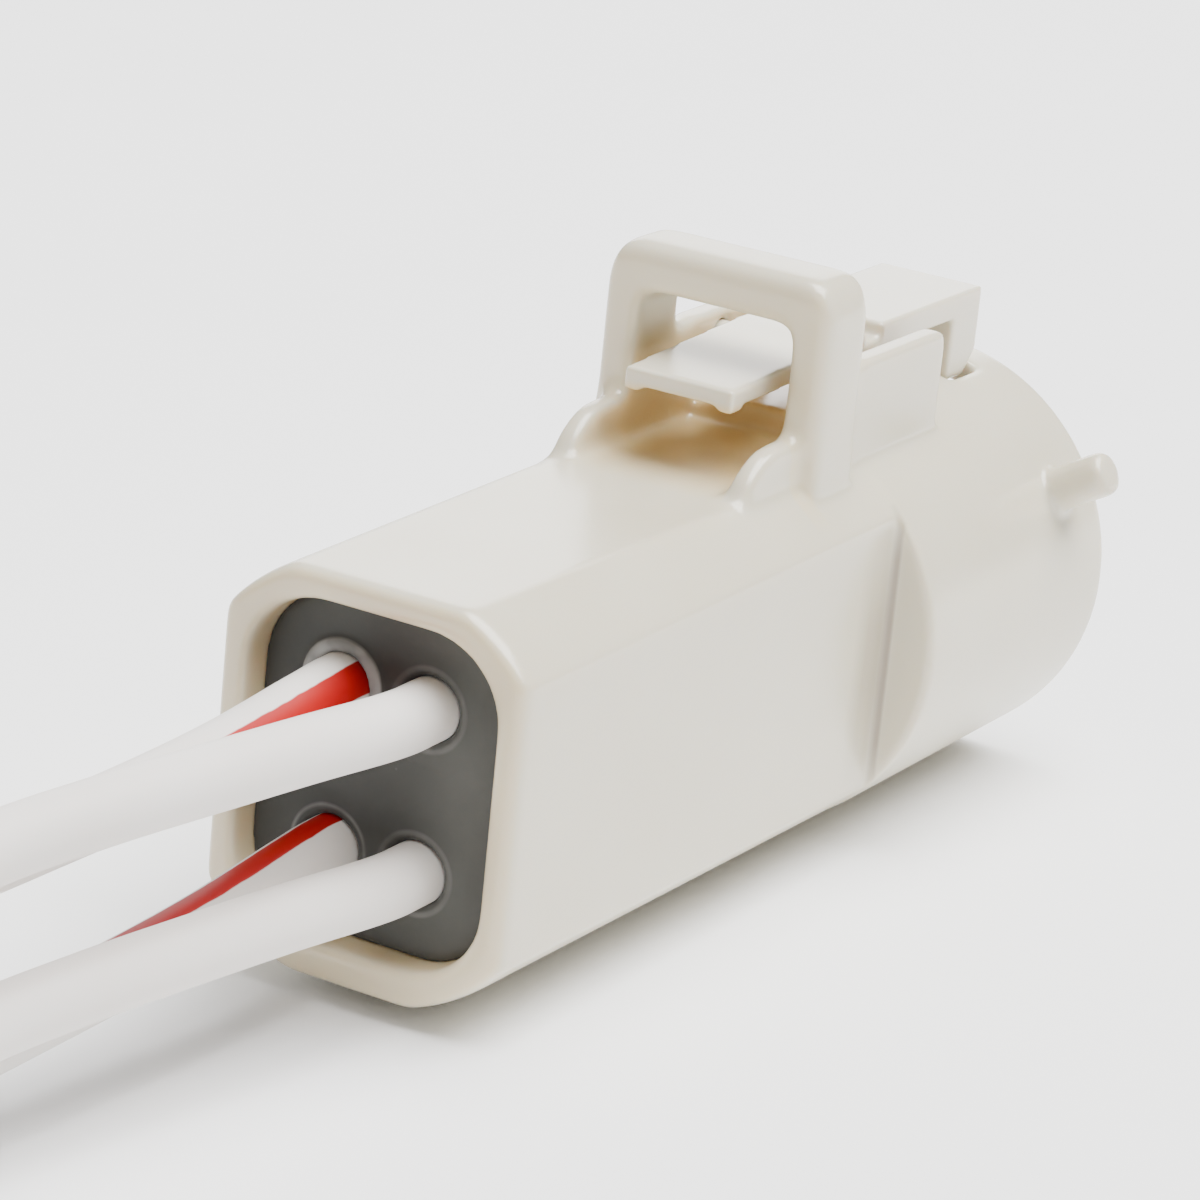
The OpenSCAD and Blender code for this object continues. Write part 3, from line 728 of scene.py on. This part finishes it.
for key, piece in leads.items():
    dress(insulation(key), piece)
print("insulation on", len(leads), "leads, with a stripe on", list(STRIPES))

# %% [markdown]
# ### Metals, lock and tie
#
# The sockets are tinned brass, drawn bright with faint lines along them. The strands are bare copper that
# has dulled a little. The lock and the tie are plain white plastic with a fine mould grain.

# %% Metals, lock and tie
STRETCH = 0.06


def drawn_metal(name, bright, dull, rough):
    """Bare metal with faint lines along Y, from a noise that is stretched that way."""
    f = Finish(name, Metallic=1.0, Roughness=rough)
    stretched = f.node("Mapping", Vector=f.place(), Scale=(1.0, STRETCH, 1.0))
    lines = f.noise(stretched.outputs["Vector"], 5000.0, 3.0)
    f.into("Base Color", f.clouded(f.place(), 300.0, 3.0, bright, dull))
    f.into("Roughness", f.span(lines, 0.3, 0.7, rough - 0.06, rough + 0.1))
    f.bump(lines, 0.006 * MM)
    return f.material


def white_plastic(name, light, shade):
    """Plain white plastic with soft clouds and a fine mould grain."""
    f = Finish(name, Roughness=0.45, Subsurface_Weight=0.15, Subsurface_Scale=0.001)
    at = f.place()
    f.into("Base Color", f.clouded(at, 180.0, 2.0, light, shade))
    f.bump(f.noise(at, 4200.0), 0.012 * MM)
    return f.material


tin = drawn_metal("tinned_brass", (0.74, 0.72, 0.68), (0.62, 0.60, 0.56), 0.28)
copper = drawn_metal("bare_copper", (0.83, 0.45, 0.30), (0.66, 0.33, 0.20), 0.32)
dress(white_plastic("lock_plastic", (0.76, 0.755, 0.74), (0.72, 0.715, 0.70)), lock_piece)
dress(white_plastic("tie_plastic", (0.74, 0.74, 0.72), (0.70, 0.70, 0.68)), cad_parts["hank_tie"])
for key in ROUTES:
    dress(tin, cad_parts["terminal_" + key])
    dress(copper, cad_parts["conductor_" + key], core_ends[key])
print("finishes:", sorted(m.name for m in bpy.data.materials if m.users))

# %% [markdown]
# ## Floor and light
#
# The connector lies on plain white paper. A small object asks for soft light: a large square softbox
# above and in front gives the shade under it, a weaker one behind lifts the edges, and a dim white world
# fills the rest.

# %% Floor and light
FLOOR_HALF, WORLD_STRENGTH = 6, 0.4
AIM = np.array([0, -0.03, 0.0])

floor_z = float(cad_lo[2])
corners = [(-1, -1), (1, -1), (1, 1), (-1, 1)]
floor = mesh_object("floor", [(FLOOR_HALF * x, FLOOR_HALF * y, floor_z) for x, y in corners], [(0, 1, 2, 3)])
floor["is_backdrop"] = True
paper = Finish("paper_sweep", Roughness=0.9, Specular_IOR_Level=0.1)
paper.into("Base Color", paper.clouded(paper.place(), 40.0, 3.0, (0.95, 0.95, 0.95), (0.935, 0.935, 0.935),
                                       0.3, 0.7))
dress(paper.material, floor)

world = bpy.data.worlds.new("studio")
bpy.context.scene.world = world
world.use_nodes = True
world.node_tree.nodes["Background"].inputs["Color"].default_value = (1, 1, 1, 1)
world.node_tree.nodes["Background"].inputs["Strength"].default_value = WORLD_STRENGTH


def softbox(name, at, size, power):
    """A square area light of that size in metres and power in watts, which faces the point AIM."""
    data = bpy.data.lights.new(name, "AREA")
    data.shape, data.size, data.energy = "SQUARE", size, power
    light = bpy.data.objects.new(name, data)
    bpy.context.collection.objects.link(light)
    z = unit(np.array(at) - AIM)
    x = unit(np.cross([0, 0, 1.0], z))
    stand(light, x, np.cross(z, x), z, at)


softbox("overhead", (0.30, 0.12, 1.15), size=1.1, power=56)
softbox("back", (-0.62, 1.05, 0.42), size=0.7, power=7)
print("floor at z =", round(floor_z / MM, 2), "mm, lights:", sorted(light.name for light in bpy.data.lights))
